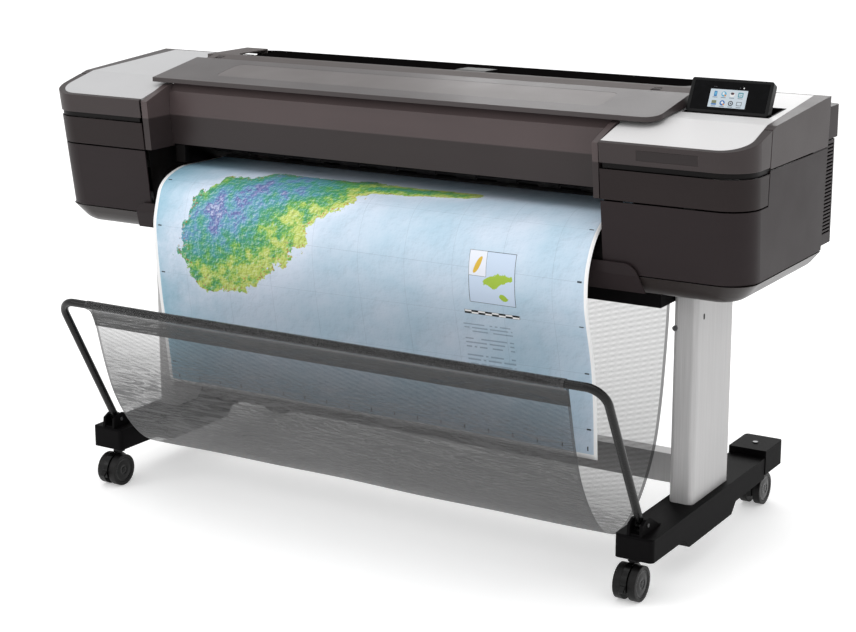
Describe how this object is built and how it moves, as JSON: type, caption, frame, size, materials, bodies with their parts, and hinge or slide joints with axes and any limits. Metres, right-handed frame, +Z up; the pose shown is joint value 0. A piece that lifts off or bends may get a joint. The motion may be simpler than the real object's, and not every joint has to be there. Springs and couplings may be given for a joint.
{
  "type": "large format plotter",
  "caption": "Wide-roll plotter on a wheeled stand: print bay between two end housings, lifting lid and roll cover, tilting touch display, hinged catch basket and a hanging print.",
  "frame": {"origin": "on the floor, in the middle of the four caster wheels", "axes": "+X towards the display end, +Y towards the back, +Z up"},
  "size_m": [1.768, 0.876, 1.0346],
  "materials": {
    "body_plastic": "fine moulded grain, satin",
    "lid_plastic": "semi-gloss",
    "inlay_plastic": "semi-gloss tinted",
    "rail_plastic": "satin",
    "silver_plastic": "satin metallic paint",
    "dark_plastic": "fine grain",
    "display_plastic": "gloss black",
    "screen": "polished",
    "foot_paint": "textured powder coat",
    "leg_metal": "satin anodised",
    "steel": "brushed",
    "bail_paint": "gloss black",
    "roller_rubber": "matt",
    "spindle_plastic": "satin",
    "caster_plastic": "satin",
    "wheel_plastic": "satin",
    "mesh_fabric": "open woven mesh",
    "roll_paper": "matt",
    "print_paper": "satin print"
  },
  "bodies": {
    "machine": {"lower_panels": "body_plastic", "top_covers": "body_plastic", "rear_corners": "body_plastic", "front_bezel": "body_plastic", "base_pans": "body_plastic", "output_fascia": "body_plastic", "lid_rail": "rail_plastic", "top_deck": "rail_plastic", "top_inserts": "silver_plastic", "display_well": "dark_plastic", "output_guides": "dark_plastic", "service_station": "dark_plastic", "power_inlet": "dark_plastic", "electronics": "dark_plastic", "ink_cartridges": "dark_plastic", "nameplate": "dark_plastic", "feet": "foot_paint", "bail_brackets": "foot_paint", "under_beam": "foot_paint", "rear_panel": "foot_paint", "inner_frames": "foot_paint", "legs": "leg_metal", "cross_beam": "leg_metal", "carriage_rails": "steel", "stand_fasteners": "steel", "drive_motors": "steel", "carriage_belt": "roller_rubber", "roll_cradle": "spindle_plastic", "printed_sheet": "print_paper"},
    "lid": {"lid": "lid_plastic", "lid_inlay": "inlay_plastic"},
    "roll_cover": {"roll_cover": "body_plastic", "roll_cover_handle": "dark_plastic"},
    "left_ink_door": {"left_ink_door": "body_plastic"},
    "right_ink_door": {"right_ink_door": "body_plastic"},
    "display": {"display_housing": "display_plastic", "display_screen": "screen"},
    "basket": {"basket_bail": "bail_paint", "basket_mesh": "mesh_fabric"},
    "carriage": {"carriage": "dark_plastic"},
    "motor_pulley": {"motor_pulley": "steel"},
    "idler_pulley": {"idler_pulley": "steel"},
    "feed_roller": {"drive_roller": "roller_rubber", "drive_gear": "steel"},
    "feed_pinion": {"motor_pinion": "steel"},
    "pinch_rollers": {"pinch_rollers": "roller_rubber"},
    "media_roll": {"roll_spindle": "spindle_plastic", "paper_roll": "roll_paper"},
    "cutter": {"cutter": "dark_plastic"},
    "power_switch": {"power_switch": "dark_plastic"},
    "caster_front_left": {"caster_fork_front_left": "caster_plastic"},
    "wheels_front_left": {"caster_wheels_front_left": "wheel_plastic"},
    "caster_front_right": {"caster_fork_front_right": "caster_plastic"},
    "wheels_front_right": {"caster_wheels_front_right": "wheel_plastic"},
    "caster_rear_left": {"caster_fork_rear_left": "caster_plastic"},
    "wheels_rear_left": {"caster_wheels_rear_left": "wheel_plastic"},
    "caster_rear_right": {"caster_fork_rear_right": "caster_plastic"},
    "wheels_rear_right": {"caster_wheels_rear_right": "wheel_plastic"},
    "pedal_left": {"caster_pedal_left": "caster_plastic"},
    "pedal_right": {"caster_pedal_right": "caster_plastic"}
  },
  "joints": [
    {"name": "lid_hinge", "type": "hinge", "parent": "machine", "child": "lid", "pos_m": [0, -0.025, 0.998], "axis": [-1, 0, 0], "range_deg": [0, 75]},
    {"name": "roll_cover_hinge", "type": "hinge", "parent": "machine", "child": "roll_cover", "pos_m": [0, 0.307, 0.954], "axis": [-1, 0, 0], "range_deg": [0, 80]},
    {"name": "left_ink_door_hinge", "type": "hinge", "parent": "machine", "child": "left_ink_door", "pos_m": [-0.8852, -0.172, 0.84], "axis": [0, 0, -1], "range_deg": [0, 100]},
    {"name": "right_ink_door_hinge", "type": "hinge", "parent": "machine", "child": "right_ink_door", "pos_m": [0.8852, -0.172, 0.84], "axis": [0, 0, 1], "range_deg": [0, 100]},
    {"name": "display_tilt", "type": "hinge", "parent": "machine", "child": "display", "pos_m": [0.75, -0.07312, 0.96967], "axis": [1, 0, 0], "range_deg": [-45, 15]},
    {"name": "basket_hinge", "type": "hinge", "parent": "machine", "child": "basket", "pos_m": [0, -0.317, 0.158], "axis": [1, 0, 0], "range_deg": [-25, 0], "deforming": ["basket_mesh"]},
    {"name": "carriage_slide", "type": "slide", "parent": "machine", "child": "carriage", "axis": [1, 0, 0], "range_m": [-1.16, 0]},
    {"name": "motor_pulley_spin", "type": "hinge", "parent": "machine", "child": "motor_pulley", "pos_m": [0.74, -0.042, 0.87], "axis": [0, 1, 0], "continuous": true},
    {"name": "idler_pulley_spin", "type": "hinge", "parent": "machine", "child": "idler_pulley", "pos_m": [-0.585, -0.042, 0.87], "axis": [0, 1, 0], "continuous": true},
    {"name": "feed_roller_spin", "type": "hinge", "parent": "machine", "child": "feed_roller", "pos_m": [0, -0.005, 0.7425], "axis": [1, 0, 0], "continuous": true},
    {"name": "feed_pinion_spin", "type": "hinge", "parent": "machine", "child": "feed_pinion", "pos_m": [-0.63, 0.05125, 0.7425], "axis": [1, 0, 0], "continuous": true},
    {"name": "pinch_roller_spin", "type": "hinge", "parent": "machine", "child": "pinch_rollers", "pos_m": [0, -0.005, 0.7705], "axis": [1, 0, 0], "continuous": true},
    {"name": "media_roll_spin", "type": "hinge", "parent": "machine", "child": "media_roll", "pos_m": [0, 0.215, 0.9], "axis": [1, 0, 0], "continuous": true},
    {"name": "cutter_slide", "type": "slide", "parent": "machine", "child": "cutter", "axis": [1, 0, 0], "range_m": [0, 1.085]},
    {"name": "power_switch_rock", "type": "hinge", "parent": "machine", "child": "power_switch", "pos_m": [-0.445, 0.289, 0.686], "axis": [1, 0, 0], "range_deg": [-7, 7]},
    {"name": "caster_swivel_front_left", "type": "hinge", "parent": "machine", "child": "caster_front_left", "pos_m": [-0.681, -0.32, 0.09], "axis": [0, 0, 1], "continuous": true},
    {"name": "caster_wheel_front_left", "type": "hinge", "parent": "caster_front_left", "child": "wheels_front_left", "pos_m": [-0.681, -0.334, 0.0375], "axis": [1, 0, 0], "continuous": true},
    {"name": "caster_swivel_front_right", "type": "hinge", "parent": "machine", "child": "caster_front_right", "pos_m": [0.681, -0.32, 0.09], "axis": [0, 0, 1], "continuous": true},
    {"name": "caster_wheel_front_right", "type": "hinge", "parent": "caster_front_right", "child": "wheels_front_right", "pos_m": [0.681, -0.334, 0.0375], "axis": [1, 0, 0], "continuous": true},
    {"name": "caster_swivel_rear_left", "type": "hinge", "parent": "machine", "child": "caster_rear_left", "pos_m": [-0.681, 0.32, 0.09], "axis": [0, 0, 1], "continuous": true},
    {"name": "caster_wheel_rear_left", "type": "hinge", "parent": "caster_rear_left", "child": "wheels_rear_left", "pos_m": [-0.681, 0.334, 0.0375], "axis": [1, 0, 0], "continuous": true},
    {"name": "caster_swivel_rear_right", "type": "hinge", "parent": "machine", "child": "caster_rear_right", "pos_m": [0.681, 0.32, 0.09], "axis": [0, 0, 1], "continuous": true},
    {"name": "caster_wheel_rear_right", "type": "hinge", "parent": "caster_rear_right", "child": "wheels_rear_right", "pos_m": [0.681, 0.334, 0.0375], "axis": [1, 0, 0], "continuous": true},
    {"name": "caster_pedal_left", "type": "hinge", "parent": "caster_front_left", "child": "pedal_left", "pos_m": [-0.681, -0.376, 0.0405], "axis": [1, 0, 0], "range_deg": [0, 15]},
    {"name": "caster_pedal_right", "type": "hinge", "parent": "caster_front_right", "child": "pedal_right", "pos_m": [0.681, -0.376, 0.0405], "axis": [1, 0, 0], "range_deg": [0, 15]}
  ],
  "couplings": [
    {"joint": "motor_pulley_spin", "follows": "carriage_slide", "rad_per_m": 83.333},
    {"joint": "idler_pulley_spin", "follows": "carriage_slide", "rad_per_m": 83.333},
    {"joint": "feed_pinion_spin", "follows": "feed_roller_spin", "ratio": -4},
    {"joint": "pinch_roller_spin", "follows": "feed_roller_spin", "ratio": -2.8571}
  ]
}
